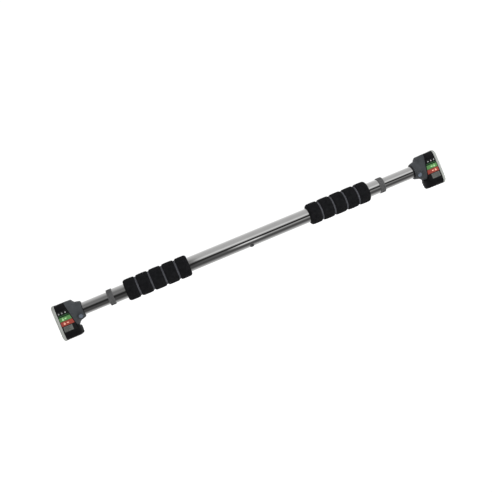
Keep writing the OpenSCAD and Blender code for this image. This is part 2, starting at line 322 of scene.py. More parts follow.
def ramp(material, factor, stops):
    """A colour ramp of (position, colour) stops."""
    node = material.node_tree.nodes.new("ShaderNodeValToRGB")
    marks = node.color_ramp.elements
    while len(marks) < len(stops):
        marks.new(0.5)
    for mark, (position, colour) in zip(marks, stops):
        mark.position = position
        mark.color = (*colour, 1) if len(colour) == 3 else colour
    material.node_tree.links.new(factor, node.inputs["Fac"])
    return node.outputs["Color"]


def between(material, factor, low, high):
    """A value that runs from low to high as the factor runs from 0 to 1."""
    node = material.node_tree.nodes.new("ShaderNodeMapRange")
    node.inputs["To Min"].default_value = low
    node.inputs["To Max"].default_value = high
    material.node_tree.links.new(factor, node.inputs["Value"])
    return node.outputs["Result"]


def bump(material, height, distance, strength=1.0):
    """Adds a fine relief under whatever relief the shader already has."""
    nodes, links = material.node_tree.nodes, material.node_tree.links
    node = nodes.new("ShaderNodeBump")
    node.inputs["Distance"].default_value = distance
    node.inputs["Strength"].default_value = strength
    links.new(height, node.inputs["Height"])
    normal = shader_of(material).inputs["Normal"]
    if normal.is_linked:
        links.new(normal.links[0].from_socket, node.inputs["Normal"])
    links.new(node.outputs["Normal"], normal)


def feed(material, output, socket):
    material.node_tree.links.new(output, shader_of(material).inputs[socket])


def chrome(name, tint):
    """Polished plate over a drawn tube: faint draw lines along it and the haze of handling."""
    material, _, _ = new_finish(name)
    set_shader(material, Metallic=1.0)
    along = place_on(material, (0.4, 1, 1))
    lines = noise(material, along, 900, 2)
    haze = noise(material, place_on(material), 28, 5, 0.62)
    shade = [c * 0.93 for c in tint]
    feed(material, ramp(material, haze, [(0.35, shade), (0.65, tint)]), "Base Color")
    feed(material, between(material, haze, 0.05, 0.105), "Roughness")
    bump(material, lines, 0.0000012, 0.3)
    return material


def foam(name, low, high, pore=0.00045):
    """Closed-cell foam with a thin skin: pores, a soft mottling and no gloss."""
    material, _, _ = new_finish(name)
    where = place_on(material)
    mottle = noise(material, where, 160, 4, 0.6)
    feed(material, ramp(material, mottle, [(0.3, low), (0.7, high)]), "Base Color")
    feed(material, between(material, mottle, 0.78, 0.95), "Roughness")
    set_shader(material, Specular_IOR_Level=0.14)
    bump(material, cells(material, where, 1 / pore / 2.2), 0.00014, 0.6)
    bump(material, noise(material, where, 420, 3), 0.00025, 0.45)
    return material


def moulded(name, colour, rough, grain=0.00035, relief=0.00003, gloss=0.45, drift=0.12):
    """Injection-moulded plastic with its tool's spark texture."""
    material, _, _ = new_finish(name)
    where = place_on(material)
    broad = noise(material, where, 55, 3)
    pale = [c * (1 + drift) for c in colour]
    dark = [c * (1 - drift) for c in colour]
    feed(material, ramp(material, broad, [(0.3, dark), (0.7, pale)]), "Base Color")
    feed(material, between(material, broad, rough - 0.05, rough + 0.06), "Roughness")
    set_shader(material, Specular_IOR_Level=gloss)
    bump(material, noise(material, where, 1 / grain, 2), relief, 0.6)
    return material


def rubber(name, colour):
    """Soft rubber with a dusty bloom."""
    material, _, _ = new_finish(name)
    where = place_on(material)
    bloom = noise(material, where, 90, 5, 0.65)
    dusty = [min(1, c * 1.22 + 0.01) for c in colour]
    feed(material, ramp(material, bloom, [(0.32, colour), (0.72, dusty)]), "Base Color")
    feed(material, between(material, bloom, 0.72, 0.9), "Roughness")
    set_shader(material, Specular_IOR_Level=0.3)
    bump(material, noise(material, where, 1500, 2), 0.00005, 0.6)
    return material


def machined(name, colour, rough=0.32):
    """Zinc-plated steel with the rings of its turning."""
    material, _, _ = new_finish(name)
    set_shader(material, Metallic=1.0)
    across = place_on(material, (1, 0.06, 0.06))
    rings = noise(material, across, 2600, 2)
    cloud = noise(material, place_on(material), 120, 4)
    yellowed = [colour[0], colour[1] * 0.985, colour[2] * 0.9]
    feed(material, ramp(material, cloud, [(0.35, colour), (0.7, yellowed)]), "Base Color")
    feed(material, between(material, cloud, rough - 0.08, rough + 0.1), "Roughness")
    bump(material, rings, 0.00002, 0.5)
    return material


def printed(name, colour, rough=0.42, drift=0.06, gloss=0.4):
    """Ink on the label film, with a slight unevenness of the print."""
    material, _, _ = new_finish(name)
    where = place_on(material)
    patch = noise(material, where, 700, 3)
    pale = [min(1, c * (1 + drift)) for c in colour]
    dark = [c * (1 - drift) for c in colour]
    feed(material, ramp(material, patch, [(0.3, dark), (0.7, pale)]), "Base Color")
    feed(material, between(material, patch, rough - 0.04, rough + 0.05), "Roughness")
    set_shader(material, Specular_IOR_Level=gloss)
    bump(material, noise(material, where, 2400, 1), 0.000006, 0.4)
    return material


FINISH = {
    "main_chrome": chrome("main_chrome", (0.845, 0.842, 0.836)),
    "inner_chrome": chrome("inner_chrome", (0.855, 0.852, 0.846)),
    "grip_foam": foam("grip_foam", (0.0042, 0.0044, 0.0050), (0.0088, 0.0090, 0.0100)),
    "core_foam": foam("core_foam", (0.052, 0.053, 0.060), (0.078, 0.079, 0.088)),
    "housing_plastic": moulded("housing_plastic", (0.0062, 0.0062, 0.0068), 0.4, gloss=0.09),
    "cover_plastic": moulded("cover_plastic", (0.043, 0.047, 0.051), 0.5, relief=0.00005, gloss=0.3),
    "collar_plastic": moulded("collar_plastic", (0.078, 0.078, 0.078), 0.48, relief=0.00005, gloss=0.35),
    "bush_plastic": moulded("bush_plastic", (0.010, 0.010, 0.012), 0.42, gloss=0.3),
    "button_plastic": moulded("button_plastic", (0.105, 0.125, 0.155), 0.4),
    "pad_rubber": rubber("pad_rubber", (0.27, 0.28, 0.262)),
    "zinc_steel": machined("zinc_steel", (0.62, 0.62, 0.61)),
    "screw_steel": machined("screw_steel", (0.55, 0.55, 0.54), 0.38),
    "black_screw": moulded("black_screw", (0.045, 0.045, 0.047), 0.4, gloss=0.6),
    "label_film": printed("label_film", (0.0075, 0.0075, 0.008), 0.34, gloss=0.25),
}
INK = {
    "dark_green": printed("dark_green_ink", (0.022, 0.11, 0.028)),
    "green": printed("green_ink", (0.076, 0.208, 0.060)),
    "pale_green": printed("pale_green_ink", (0.42, 0.70, 0.34)),
    "red": printed("red_ink", (0.262, 0.037, 0.023)),
    "pale_red": printed("pale_red_ink", (0.86, 0.42, 0.30)),
    "grey": printed("grey_ink", (0.105, 0.11, 0.10)),
    "rule": printed("rule_ink", (0.045, 0.047, 0.043)),
    "white": printed("white_ink", (0.42, 0.43, 0.42)),
}


def dress(piece, finish):
    """Gives a piece one finish all over."""
    piece.data.materials.clear()
    piece.data.materials.append(finish)
    return piece


def fit_out(piece, body, slot, replaced=(), finish=None):
    """Finishes a new piece, sets it riding on its body and hides the CAD nodes it stands for."""
    dress(piece, finish or FINISH[slot])
    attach(piece, body)
    if replaced:
        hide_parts(*replaced)
    return piece


# ======================================================================== tubes
def tube(name, radius, x0, x1):
    """A tube with its cut ends lightly rounded, inside and out."""
    bore = radius - TUBE_WALL
    e = 0.35 * MM
    outline = [(x0 + e, radius), (x1 - e, radius), *arc(x1 - e, radius - e, e, 90, 0, 3),
               *arc(x1 - e, bore + e, e, 0, -90, 3), (x0 + e, bore), *arc(x0 + e, bore + e, e, 270, 180, 3),
               *arc(x0 + e, radius - e, e, 180, 90, 3)]
    return smooth(turned(name, outline, 160), 40)


def make_tubes():
    fit_out(tube("main_tube_chrome", MAIN_R, TUBE_LOW.x, TUBE_HIGH.x), "main", "main_chrome", ["main_tube"])
    for side in ("left", "right"):
        low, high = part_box(side + "_inner_tube")
        piece = tube(side + "_inner_tube_chrome", INNER_R, low.x, high.x)
        fit_out(piece, side + "_end", "inner_chrome", [side + "_inner_tube"])


# ======================================================================== collars
COLLAR_RIBS = 48


def collar():
    """The left collar: a ring with a lip over the tube's end and shallow grip ribs round its middle."""
    low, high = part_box("left_collar")
    r = (high.y - low.y) / 2
    e = 0.9 * MM
    rib_r = r - 0.3 * MM
    outline = [*arc(low.x + e, r - e, e, 180, 90, 4), (low.x + 2.2 * MM, r), (low.x + 2.5 * MM, rib_r),
               (high.x - 2.5 * MM, rib_r), (high.x - 2.2 * MM, r), *arc(high.x - e, r - e, e, 90, 0, 4),
               (high.x, MAIN_R + 0.05 * MM), (low.x + 2 * MM, MAIN_R + 0.05 * MM),
               (low.x + 2 * MM, INNER_R + 0.06 * MM), (low.x, INNER_R + 0.06 * MM)]
    outline.append(outline[0])
    piece = turned("left_collar_ring", outline, COLLAR_RIBS * 4)

    def on_rib(centre, normal):
        away = Vector((0, centre.y, centre.z - AXIS_Z))
        turn = math.degrees(math.atan2(away.z, away.y)) % (360 / COLLAR_RIBS)
        middle = low.x + 2.6 * MM < centre.x < high.x - 2.6 * MM
        return middle and away.length > r - 1 * MM and turn < 180 / COLLAR_RIBS
    edit(piece, "FACE")
    pick_faces(piece, on_rib)
    bpy.ops.mesh.extrude_region_shrink_fatten(TRANSFORM_OT_shrink_fatten={"value": 0.3 * MM})
    done()
    return smooth(piece, 30)


def make_collars():
    left = collar()
    right = mirrored(left, "right_collar_ring", BAR_MID)
    fit_out(left, "main", "collar_plastic", ["left_collar"])
    fit_out(right, "main", "collar_plastic", ["right_collar"])


# ======================================================================== foam grips
SEGMENTS = 5
GROOVE_W = 3.8 * MM
SEGMENT_ROUND = (3.8 * MM, 2.25 * MM)  # along the grip, and into it
END_ROUND = (5.5 * MM, 4.8 * MM)
CROWN = 0.25 * MM
FOAM_UNEVEN = 0.00022


def uneven(piece, size, strength):
    """Foam is cut and slit by hand, so its skin is never quite true."""
    clouds = bpy.data.textures.new(piece.name + "_skin", "CLOUDS")
    clouds.noise_scale = size
    modifier = piece.modifiers.new("skin", "DISPLACE")
    modifier.texture = clouds
    modifier.texture_coords = "LOCAL"
    modifier.strength = strength
    modifier.mid_level = 0.5
    apply_modifiers(piece)
    return piece


def grip_segment(name, x0, x1, r, inner, first, last):
    """One foam band, full at its edges; the grip's first and last bands close down on to the tube."""
    wall = 2.4 * MM
    on_tube = MAIN_R + 0.1 * MM
    left_round, left_deep = END_ROUND if first else SEGMENT_ROUND
    right_round, right_deep = END_ROUND if last else SEGMENT_ROUND
    skin = arc(x0 + left_round, r - left_deep, left_round, 180, 90, 9, left_deep)
    steps = 10
    reach = x1 - right_round - skin[-1][0]
    skin += [(skin[-1][0] + reach / steps, r + CROWN * math.sin(math.pi / steps))]
    start = skin[-2][0]
    skin += [(start + reach * i / steps, r + CROWN * math.sin(math.pi * i / steps)) for i in range(2, steps)]
    skin += arc(x1 - right_round, r - right_deep, right_round, 90, 0, 9, right_deep)
    right_end = [(x1, on_tube), (x1 - wall, on_tube), (x1 - wall, inner)] if last else [(x1, inner)]
    left_end = [(x0 + wall, inner), (x0 + wall, on_tube), (x0, on_tube)] if first else [(x0, inner)]
    piece = turned(name, skin + right_end + left_end + [skin[0]], 144)
    uneven(piece, 0.018, FOAM_UNEVEN)
    return smooth(piece, 50)


def make_grip(side):
    low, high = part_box(side + "_grip_segments")
    core_low, core_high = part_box(side + "_grip_core")
    r = (high.z - low.z) / 2
    core_r = (core_high.z - core_low.z) / 2
    width = (high.x - low.x - (SEGMENTS - 1) * GROOVE_W) / SEGMENTS
    for i in range(SEGMENTS):
        x0 = low.x + i * (width + GROOVE_W)
        piece = grip_segment(f"{side}_grip_segment_{i + 1}", x0, x0 + width, r, core_r + 0.1 * MM,
                             i == 0, i == SEGMENTS - 1)
        fit_out(piece, "main", "grip_foam", [side + "_grip_segments"])
    steps = 48
    x0, x1 = core_low.x + 0.1 * MM, core_high.x - 0.1 * MM
    outside = [(x0 + (x1 - x0) * i / steps, core_r) for i in range(steps + 1)]
    core = turned(side + "_grip_core_foam",
                  outside + [(x1, MAIN_R + 0.1 * MM), (x0, MAIN_R + 0.1 * MM), (x0, core_r)], 128)
    uneven(core, 0.012, FOAM_UNEVEN / 2)
    smooth(core, 50)
    fit_out(core, "main", "core_foam", [side + "_grip_core"])


# ======================================================================== caps
def at(u, h, y=0.0):
    """A point at a distance from the left wall and a height above the tubes' axis."""
    return Vector((WALL_X + u, y, AXIS_Z + h))


def slant_u(h):
    """Where the neck cover's slanted edge lies at a height."""
    lean = (SLANT_LOW[0] - SLANT_TOP[0]) / (SLANT_LOW[1] - SLANT_TOP[1])
    return SLANT_TOP[0] + (h - SLANT_TOP[1]) * lean


def cover_zone(grow):
    """The space that belongs to the neck cover: past a slanted front edge that turns in a round knee."""
    wide, low, high = 0.06, SLANT_LOW[1] - grow, 0.045
    piece = block("cover_zone", at(0, low, -wide), at(0.08, high, wide))
    edit(piece, "VERT")
    bpy.ops.mesh.select_all(action="SELECT")

    def lean(p):
        h = p.z - AXIS_Z
        return at(slant_u(h) - grow, h, p.y) if p.x < WALL_X + 0.01 else p
    move_points(piece, lean)
    bpy.ops.mesh.select_mode(type="EDGE")
    pick_edges(piece, lambda a, b: abs(a.y - b.y) > wide and a.x < WALL_X + 0.05 and a.z < AXIS_Z)
    bpy.ops.mesh.bevel(offset=KNEE_R, segments=8, affect="EDGES")
    done()
    return piece


def half_width(u):
    """The cap's half width at a distance from the wall."""
    along = min(max((u - NOSE_FROM) / (NOSE_TO - NOSE_FROM), 0), 1)
    return HALF_W * math.sqrt(1 - along ** 2)


def extrude_to(piece, u, place):
    """Extrudes the picked end face to u and puts each of its points where place(y, height) says."""
    mesh = bmesh.from_edit_mesh(piece.data)
    before = next(v.co.x for v in mesh.verts if v.select)
    bpy.ops.mesh.extrude_region_move(TRANSFORM_OT_translate={"value": (WALL_X + u - before, 0, 0)})

    def put(p):
        y, h = place(p.y, p.z - AXIS_Z)
        return at(u, h, y)
    move_points(piece, put)


def nosed(name, low, high, inset=0.0, until=1.0):
    """A block with round long edges whose end is drawn in to an oval nose, left open in edit mode.
    until is how far along the nose it goes; the whole lies an inset inside the cap's skin."""
    margin = Vector((0, inset, inset))
    piece = block(name, Vector(low) + margin, Vector((WALL_X + NOSE_FROM, high.y, high.z)) - margin)
    round_long_edges(piece, 0, HOUSING_ROUND - inset, 16)
    edit(piece)
    pick_edges(piece, lambda a, b: abs(a.x - b.x) < 1e-6 and (a - b).length > 8 * MM)
    bpy.ops.mesh.subdivide(number_cuts=9)
    bpy.ops.mesh.select_mode(type="FACE")
    pick_faces(piece, lambda c, n: n.x > 0.99 and c.x > WALL_X + NOSE_FROM - 1e-6)
    start, lift = NOSE_EASE
    steps = round(NOSE_STEPS * math.asin(until) / (math.pi / 2))
    width_was = depth_was = 1.0
    for i in range(1, steps + 1):
        turn = math.asin(until) * i / steps
        along, width = math.sin(turn), max(math.cos(turn), NOSE_TIP)
        depth = 1 - lift * (1 - math.sqrt(1 - max((along - start) / (1 - start), 0) ** 2))
        extrude_to(piece, NOSE_FROM + (NOSE_TO - NOSE_FROM - inset) * along,
                   lambda y, h: (y * width / width_was, h * (depth / depth_was if h < 0 else 1)))
        width_was, depth_was = width, depth
    return piece


def wall_pad():
    """The rubber pad: a crowned rim towards the wall and cross slots in its wall face."""
    piece = block("left_pad", PAD_LOW, (PAD_LOW.x + PAD_T, PAD_HIGH.y, PAD_HIGH.z))
    round_long_edges(piece, 0, PAD_ROUND, 14)
    round_rim(piece, PAD_LOW.x, 4.5 * MM, 8)
    round_rim(piece, PAD_LOW.x + PAD_T, 0.7 * MM, 3)
    middle = (PAD_LOW.z + PAD_HIGH.z) / 2
    for i in range(-3, 4):
        z = middle + i * 9 * MM
        slot_tool = block("slot_tool", (PAD_LOW.x - 2 * MM, -17 * MM, z - 1 * MM),
                          (PAD_LOW.x + 1.2 * MM, 17 * MM, z + 1 * MM))
        round_long_edges(slot_tool, 0, 0.95 * MM, 4)
        combine(piece, slot_tool, "DIFFERENCE")
    return smooth(piece, 32)


def housing():
    """The black box of the cap: a shell open towards the wall, cut away for the neck cover."""
    piece = nosed("left_housing_shell", HOUSING_LOW, HOUSING_HIGH)
    done()
    inside = nosed("inside", HOUSING_LOW - Vector((0.005, 0, 0)), HOUSING_HIGH, SHELL)
    done()
    under_cover = SLANT_LOW[1] - 0.2 * MM - SHELL
    roof = block("roof", at(34 * MM, under_cover, -0.04), at(0.06, SLANT_LOW[1] + 1 * MM, 0.04))
    combine(inside, roof, "DIFFERENCE")
    combine(piece, inside, "DIFFERENCE")
    combine(piece, cover_zone(0.16 * MM), "DIFFERENCE")
    combine(piece, label_block("recess", -1 * MM, 0.6 * MM, -0.1 * MM), "DIFFERENCE")
    soften(piece, 0.3 * MM, 2)
    return smooth(piece, 34)


# The neck cover past its full part: distance from the wall, how far the outline has gone from the
# rounded box (0) to an oval (1), and that oval's half width, top and bottom, all in millimetres
NECK_STATIONS = [
    (35.0, 0.15, 21.4, 28.3, 29.2), (36.6, 0.33, 21.3, 28.3, 28.7), (38.2, 0.52, 21.1, 28.3, 27.9),
    (39.8, 0.71, 20.9, 28.0, 26.9), (41.3, 0.87, 20.7, 27.3, 25.8), (42.6, 0.96, 20.5, 26.2, 24.6),
    (43.8, 1.0, 20.4, 24.7, 23.5), (45.0, 1.0, 20.3, 22.9, 22.5), (46.4, 1.0, 20.2, 21.3, 21.5),
    (48.0, 1.0, 20.0, 20.4, 20.6), (50.0, 1.0, 19.7, 20.0, 20.0), (52.4, 1.0, 19.3, 19.5, 19.4),
    (55.0, 1.0, 18.7, 18.8, 18.7), (57.2, 1.0, 18.0, 18.1, 18.0), (58.2, 1.0, 17.7, 17.7, 17.7),
    (58.5, 1.0, 17.3, 17.3, 17.3)]


def neck_cover():
    """The grey cover: full where it meets the housing, drawn down to a round neck over the tube."""
    low, high = at(14 * MM, SLANT_LOW[1], HOUSING_LOW.y), HOUSING_HIGH
    piece = nosed("left_neck_shell", low, high, 0, (FULL_U - NOSE_FROM) / (NOSE_TO - NOSE_FROM))
    gone = 0
    for u, roundness, wide, top, bottom in NECK_STATIONS:
        step = (roundness - gone) / (1 - gone) if gone < 1 else 1
        gone = roundness

        def draw_down(y, h):
            turn = math.atan2(h, y)
            tall = top if h > 0 else bottom
            reach = MM / math.hypot(math.cos(turn) / wide, math.sin(turn) / tall)
            return y + (reach * math.cos(turn) - y) * step, h + (reach * math.sin(turn) - h) * step
        extrude_to(piece, u * MM, draw_down)
    done()
    boss = button_rod("boss", BOSS_R, 5 * MM, BOSS_OUT)
    combine(piece, boss, "UNION")
    combine(piece, rod("mouth", MOUTH_R, WALL_X + 50 * MM, WALL_X + 70 * MM), "DIFFERENCE")
    inside = nosed("inside", low - Vector((0.005, 0, 0)), high, SHELL, 0.7)
    done()
    combine(piece, inside, "DIFFERENCE")
    combine(piece, rod("chamber", CHAMBER_R, WALL_X + 10 * MM, WALL_X + 55.5 * MM), "DIFFERENCE")
    combine(piece, button_rod("seat", BUTTON_R + 0.12 * MM, BUTTON_SEAT, 30 * MM), "DIFFERENCE")
    combine(piece, cover_zone(0), "INTERSECT")
    soften(piece, 0.35 * MM, 2)
    return smooth(piece, 34)


def button_rod(name, radius, inner, outer, segments=48):
    """A round bar that stands out from the tubes' axis in the button's direction."""
    clear_selection()
    direction = Vector((0, -math.cos(BUTTON_ANGLE), -math.sin(BUTTON_ANGLE)))
    turn = direction.to_track_quat("Z", "X").to_euler()
    middle = at(BUTTON_U, 0) + direction * (inner + outer) / 2
    bpy.ops.mesh.primitive_cylinder_add(vertices=segments, radius=radius, depth=outer - inner,
                                        location=middle, rotation=turn)
    return named(name)


def lock_button():
    """The push button: a stem, a foot that drops into the lock ring and a dished, rounded head."""
    direction = Vector((0, -math.cos(BUTTON_ANGLE), -math.sin(BUTTON_ANGLE)))
    piece = button_rod("left_button_head", BUTTON_R, 21.5 * MM, 23.9 * MM, 64)

    def out_along(point):
        return (point - at(BUTTON_U, 0)).dot(direction)
    edit(piece, "FACE")
    pick_faces(piece, lambda c, n: n.dot(direction) > 0.9)
    bpy.ops.mesh.inset(thickness=1.5 * MM)
    bpy.ops.transform.translate(value=-direction * 0.35 * MM)
    bpy.ops.mesh.inset(thickness=0.8 * MM)
    bpy.ops.transform.translate(value=-direction * 0.12 * MM)
    bpy.ops.mesh.select_mode(type="EDGE")
    pick_edges(piece, lambda a, b: out_along(a) > 23.85 * MM and out_along(b) > 23.85 * MM
               and (a - b).length < 0.6 * MM)
    bpy.ops.mesh.bevel(offset=0.45 * MM, segments=4, affect="EDGES")
    done()
    combine(piece, button_rod("stem", 1.8 * MM, 17 * MM, 22 * MM, 32), "UNION")
    combine(piece, button_rod("foot", 2.6 * MM, 16.6 * MM, 17.8 * MM, 32), "UNION")
    return smooth(piece, 40)


def neck_bush():
    """The dark bush in the neck's mouth, with a rounded lip."""
    low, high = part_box("left_neck_bush")
    r, bore, e = MOUTH_R - 0.1 * MM, INNER_R + 0.05 * MM, 0.5 * MM
    outline = [(low.x, r), (high.x - e, r), *arc(high.x - e, r - e, e, 90, 0, 4),
               *arc(high.x - e, bore + e, e, 0, -90, 4), (low.x, bore), (low.x, r)]
    return smooth(turned("left_neck_bush_ring", outline, 128), 40)


# ======================================================================== labels
def wrapped(piece):
    """Bends a flat piece on the housing's front round its nose."""
    edit(piece)
    for i in range(12):
        bpy.ops.mesh.select_all(action="SELECT")
        bpy.ops.mesh.bisect(plane_co=at((20.5 + 1.5 * i) * MM, 0), plane_no=(1, 0, 0))
    bpy.ops.mesh.select_all(action="SELECT")
    move_points(piece, lambda p: p + Vector((0, HALF_W - half_width(p.x - WALL_X), 0)))
    done()
    return piece


def label_block(name, proud, depth, inset, u0=LABEL_U, low=LABEL_LOW, high=LABEL_TOP):
    """A block on the housing's front whose right edge runs along the neck cover's edge. proud is how far
    its face lies before the housing, and depth how far its back lies in it."""
    piece = block(name, at(u0 + inset, low + inset, LABEL_Y - abs(proud)),
                  at(0.05, high - inset, LABEL_Y + depth))
    edit(piece, "VERT")
    bpy.ops.mesh.select_all(action="SELECT")
    bpy.ops.mesh.bisect(plane_co=at(0, LABEL_KNEE), plane_no=(0, 0, 1))
    bpy.ops.mesh.select_all(action="SELECT")

    def right_edge(p):
        if p.x < WALL_X + 0.049:
            return p
        return Vector((WALL_X + slant_u(max(p.z - AXIS_Z, LABEL_KNEE)) - LABEL_MARGIN - inset, p.y, p.z))
    move_points(piece, right_edge)
    done()
    return wrapped(piece)


def ink(piece, colour):
    """A printed patch, laid on the left label and mirrored on to the right one."""
    other = mirrored(piece, piece.name.replace("left_", "right_"))
    fit_out(piece, "left_cap", "label_film", finish=INK[colour])
    fit_out(other, "right_cap", "label_film", finish=INK[colour])


PRINT_T = 0.1 * MM


def patch(name, u0, u1, low, high, level=1, rounding=0.0):
    """A flat printed shape between two distances and two heights, on the first or second ink layer."""
    front = LABEL_Y - 0.02 * MM - level * PRINT_T
    piece = block("left_" + name, at(u0, low, front), at(u1, high, front + PRINT_T))
    if rounding:
        round_long_edges(piece, 1, rounding, 5)
    return piece


def dot(name, u, h, radius, level=2, segments=40):
    clear_selection()
    front = LABEL_Y - 0.02 * MM - level * PRINT_T
    bpy.ops.mesh.primitive_cylinder_add(vertices=segments, radius=radius, depth=PRINT_T,
                                        location=at(u, h, front + PRINT_T / 2), rotation=(math.pi / 2, 0, 0))
    return named("left_" + name)


def padlock(name, u, h, is_open):
    """A small padlock: a rounded body with a keyhole and a shackle that is shut or lifted."""
    body = patch(name, u - 1.8 * MM, u + 1.8 * MM, h - 2.3 * MM, h + 0.5 * MM, 2, 0.45 * MM)
    combine(body, dot("keyhole", u, h - 0.8 * MM, 0.45 * MM, 2, 20), "DIFFERENCE")
    top = h + (1.7 if is_open else 0.85) * MM
    shackle = dot("shackle", u, top, 1.4 * MM)
    combine(shackle, patch("legs", u - 1.4 * MM, u + 1.4 * MM, h + 0.3 * MM, top, 2), "UNION")
    combine(shackle, dot("gap", u, top, 0.75 * MM), "DIFFERENCE")
    free_to = u + (3 if is_open else 0.75) * MM
    combine(shackle, patch("between_legs", u - 0.75 * MM, free_to, h - 1.5 * MM, top, 2), "DIFFERENCE")
    combine(body, shackle, "UNION")
    return body


def arrow(name, u, h, points_left):
    """An arrow: a bar with a triangular head."""
    way = -1 if points_left else 1
    shaft = patch(name, u - 2.0 * MM, u + 2.0 * MM, h - 0.55 * MM, h + 0.55 * MM, 2)
    clear_selection()
    front = LABEL_Y - 0.02 * MM - 2 * PRINT_T
    bpy.ops.mesh.primitive_cylinder_add(vertices=3, radius=1.9 * MM, depth=PRINT_T,
                                        location=at(u + way * 1.3 * MM, h, front + PRINT_T / 2),
                                        rotation=(math.pi / 2, way * math.pi / 2, 0))
    head = named("head")
    return combine(shaft, head, "UNION")


def make_labels():
    film = label_block("left_label_film", 0.02 * MM, 0.5 * MM, 0.12 * MM)
    other = mirrored(film, "right_label_film")
    fit_out(film, "left_cap", "label_film", ["left_label"])
    fit_out(other, "right_cap", "label_film", ["right_label"])
    for i, u in enumerate((11.0, 18.0, 25.0)):
        tick = patch(f"tick_{i + 1}", (u - 1.0) * MM, (u + 1.0) * MM, 6.4 * MM, 9.6 * MM, 1, 0.5 * MM)
        combine(tick, patch("notch", (u - 0.4) * MM, (u + 0.4) * MM, 7.6 * MM, 10.5 * MM, 1), "DIFFERENCE")
        ink(wrapped(tick), "white")

    def stripe(name, low, high, colour):
        front = PRINT_T + 0.02 * MM
        ink(label_block("left_" + name, front, 0, 0.0, LABEL_U + 0.2 * MM, low * MM, high * MM), colour)
    stripe("thin_line", 1.9, 3.1, "dark_green")
    stripe("green_band", -9.0, -0.3, "green")
    stripe("red_band", -19.0, -9.7, "red")
    ink(wrapped(padlock("open_padlock", 15.4 * MM, -5.0 * MM, True)), "pale_green")
    ink(wrapped(arrow("loosen_arrow", 21.8 * MM, -4.7 * MM, True)), "pale_green")
    ink(wrapped(padlock("shut_padlock", 15.4 * MM, -14.1 * MM, False)), "pale_red")
    ink(wrapped(arrow("tighten_arrow", 21.8 * MM, -14.3 * MM, False)), "pale_red")
    ink(wrapped(patch("note_panel", 9.6 * MM, 28.5 * MM, -31.6 * MM, -20.6 * MM, 1, 0.5 * MM)), "grey")
    for i, end in enumerate((25.6, 21.4, 24.2, 18.0)):
        h = -22.6 - 2.4 * i
        ink(wrapped(patch(f"note_rule_{i + 1}", 11.4 * MM, end * MM, (h - 0.9) * MM, h * MM, 2)), "rule")


def make_caps():
    for make, body, slot, nodes in (
            (wall_pad, "cap", "pad_rubber", ["wall_pad"]),
            (housing, "cap", "housing_plastic", ["housing"]),
            (neck_cover, "cap", "cover_plastic", ["neck_cover"]),
            (neck_bush, "cap", "bush_plastic", ["neck_bush"]),
            (lock_button, "button", "button_plastic", ["lock_button"])):
        left = make()
        right = mirrored(left, left.name.replace("left_", "right_"))
        fit_out(left, "left_" + body, slot, ["left_" + n for n in nodes])
        fit_out(right, "right_" + body, slot, ["right_" + n for n in nodes])


# ======================================================================== pieces kept from the frame
def dress_frame():
    """Gives each CAD node that stays the finish its record's slot names."""
    slots = {row["node"]: row["material_slot"] for row in frame["record"]["subparts"]}
    for name, node in frame["nodes"].items():
        if not node.hide_render:
            dress(node, FINISH[slots[name]])


# ======================================================================== studio
# What polished metal sees round the bar: (degrees, brightness), from the level front (0) over the
# top (90) to the level back (180), and down below the front (-90)
ROUND_THE_BAR = [
    (-180, 0.92), (-150, 0.72), (-128, 0.56), (-108, 0.36), (-90, 0.19), (-76, 0.10), (-60, 0.06),
    (-45, 0.10),
    (-30, 0.07), (-19, 0.035), (-14, 0.024), (-3, 0.024), (3, 0.10), (10, 0.42), (20, 0.80), (32, 0.58),
    (45, 0.46), (62, 0.46), (100, 0.50), (130, 0.68), (180, 0.92)]
LEFT_OF_THE_BAR = [
    (-180, 0.90), (-128, 0.52), (-106, 0.33), (-90, 0.15), (-74, 0.08), (-60, 0.06), (-45, 0.085),
    (-30, 0.035),
    (-14, 0.020), (-3, 0.020), (5, 0.13), (20, 0.21), (45, 0.17), (60, 0.22), (90, 0.41), (106, 0.46),
    (130, 0.62), (180, 0.88)]


def glow(name, build):
    """An emission material whose colour build(material, shader) works out."""
    material, nodes, links = new_finish(name)
    nodes.clear()
    shader = nodes.new("ShaderNodeEmission")
    out = nodes.new("ShaderNodeOutputMaterial")
    links.new(build(material, shader), out.inputs["Surface"])
    return material


